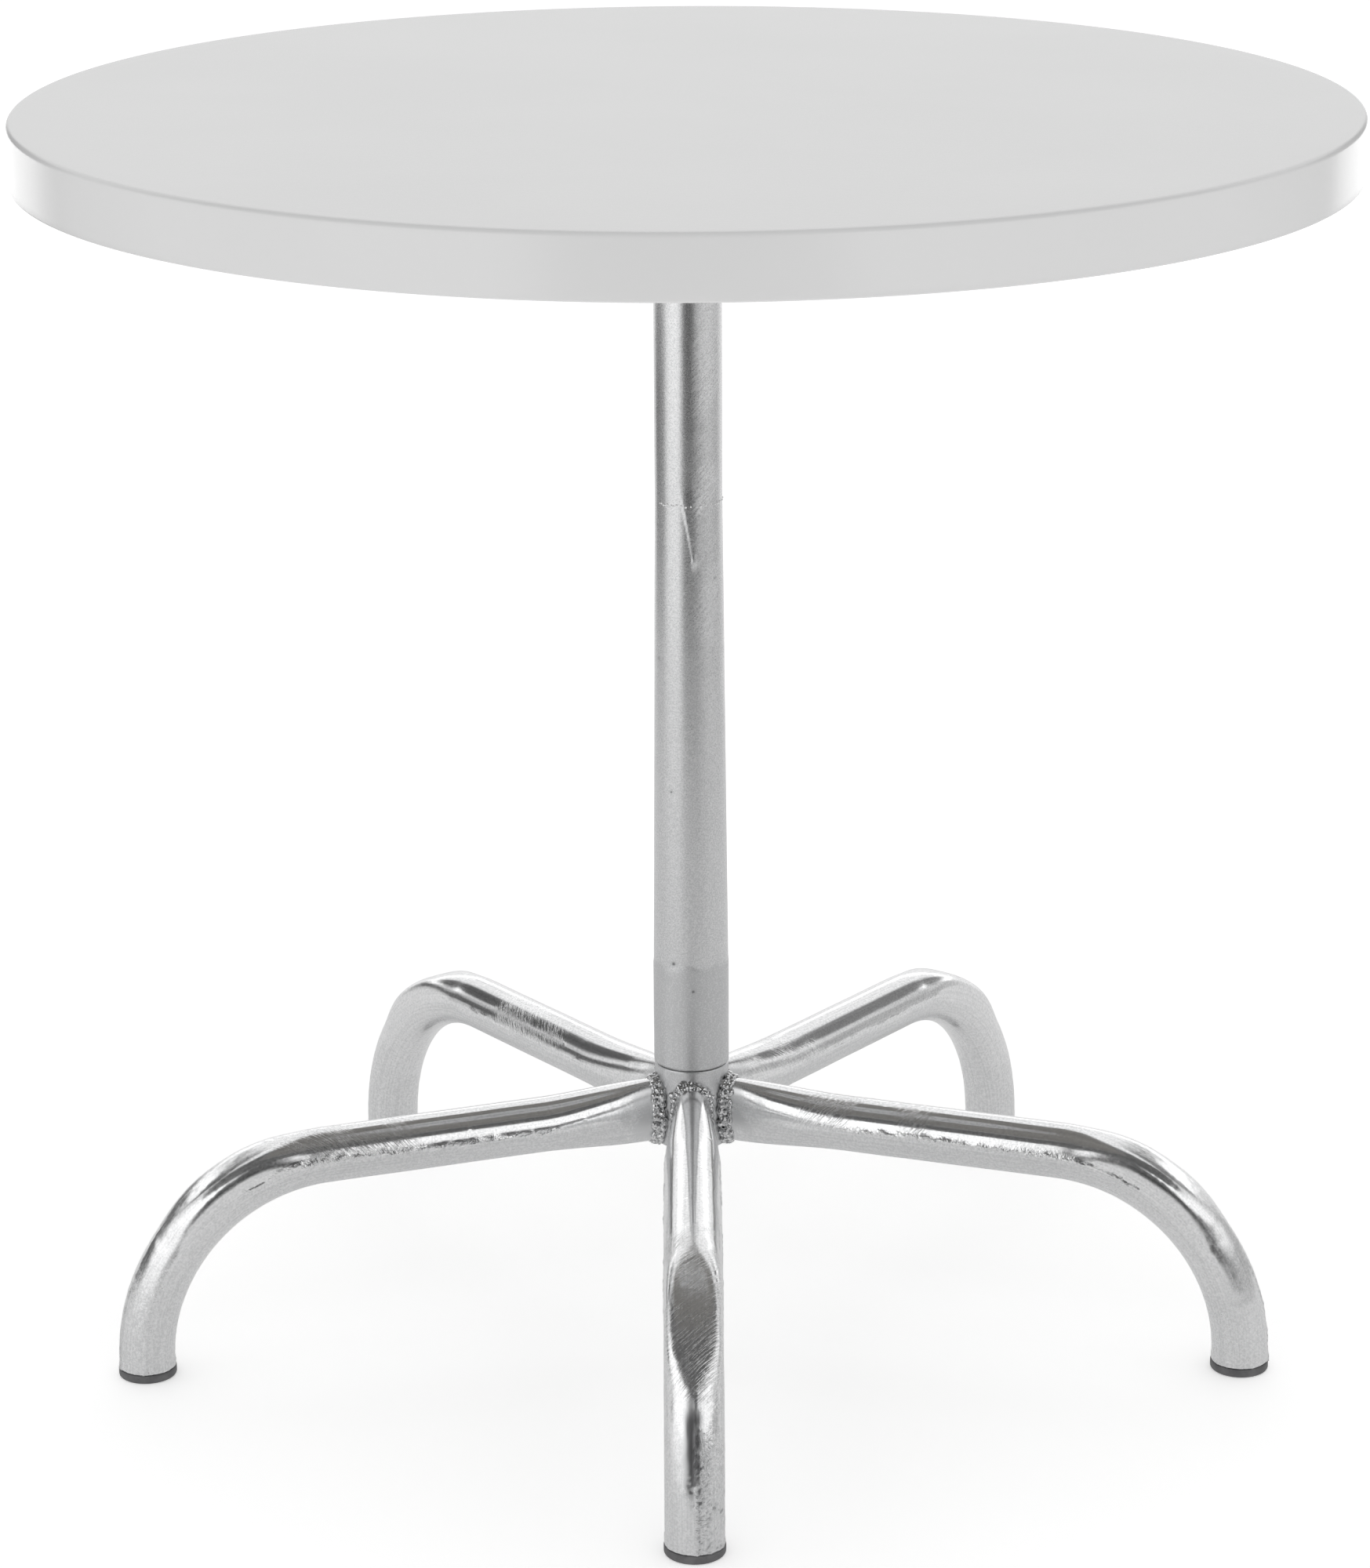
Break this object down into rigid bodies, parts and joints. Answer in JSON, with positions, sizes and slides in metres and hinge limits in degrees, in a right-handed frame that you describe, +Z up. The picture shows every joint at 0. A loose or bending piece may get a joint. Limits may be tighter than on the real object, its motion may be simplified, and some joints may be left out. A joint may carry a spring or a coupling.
{
  "type": "bistro table",
  "caption": "Round white moulded-top table on a slim galvanised pipe column with bent pipe legs on plastic glides.",
  "frame": {"origin": "on the floor under the centre of the column and of the round top", "axes": "+Z up along the column, -Y towards the front leg and the viewer, +X to the viewer's right"},
  "size_m": [0.7799, 0.78, 0.75],
  "materials": {
    "gelcoat_white": "white gelcoat, satin-gloss, very slightly textured",
    "plywood": "plywood sealed with grey paint, grain showing through",
    "zinc_plated_fasteners": "bright zinc plating",
    "galvanised_steel": "hot-dip galvanised, bright and uneven",
    "galvanised_weld": "rough weld bead under hot-dip zinc",
    "bare_steel": "turned steel",
    "foot_plastic": "dark grey moulded polyethylene, matt"
  },
  "bodies": {
    "root": {"clamp_bolt": "zinc_plated_fasteners", "clamp_washer": "zinc_plated_fasteners", "column_nut_plate": "bare_steel", "column_tube": "galvanised_steel", "core_board": "plywood", "flange_weld": "galvanised_weld", "foot_plug_back_left": "foot_plastic", "foot_plug_back_right": "foot_plastic", "foot_plug_front": "foot_plastic", "foot_plug_front_left": "foot_plastic", "foot_plug_front_right": "foot_plastic", "gusset_1": "galvanised_steel", "gusset_2": "galvanised_steel", "gusset_3": "galvanised_steel", "gusset_4": "galvanised_steel", "hub_base_plate": "galvanised_steel", "hub_tube": "galvanised_steel", "leg_back_left": "galvanised_steel", "leg_back_right": "galvanised_steel", "leg_front": "galvanised_steel", "leg_front_left": "galvanised_steel", "leg_front_right": "galvanised_steel", "leg_weld_back_left": "galvanised_weld", "leg_weld_back_right": "galvanised_weld", "leg_weld_front": "galvanised_weld", "leg_weld_front_left": "galvanised_weld", "leg_weld_front_right": "galvanised_weld", "spigot_tube": "bare_steel", "tabletop_shell": "gelcoat_white", "threaded_inserts": "zinc_plated_fasteners", "top_flange": "galvanised_steel", "top_screws": "zinc_plated_fasteners", "top_washers": "zinc_plated_fasteners"}
  },
  "joints": []
}
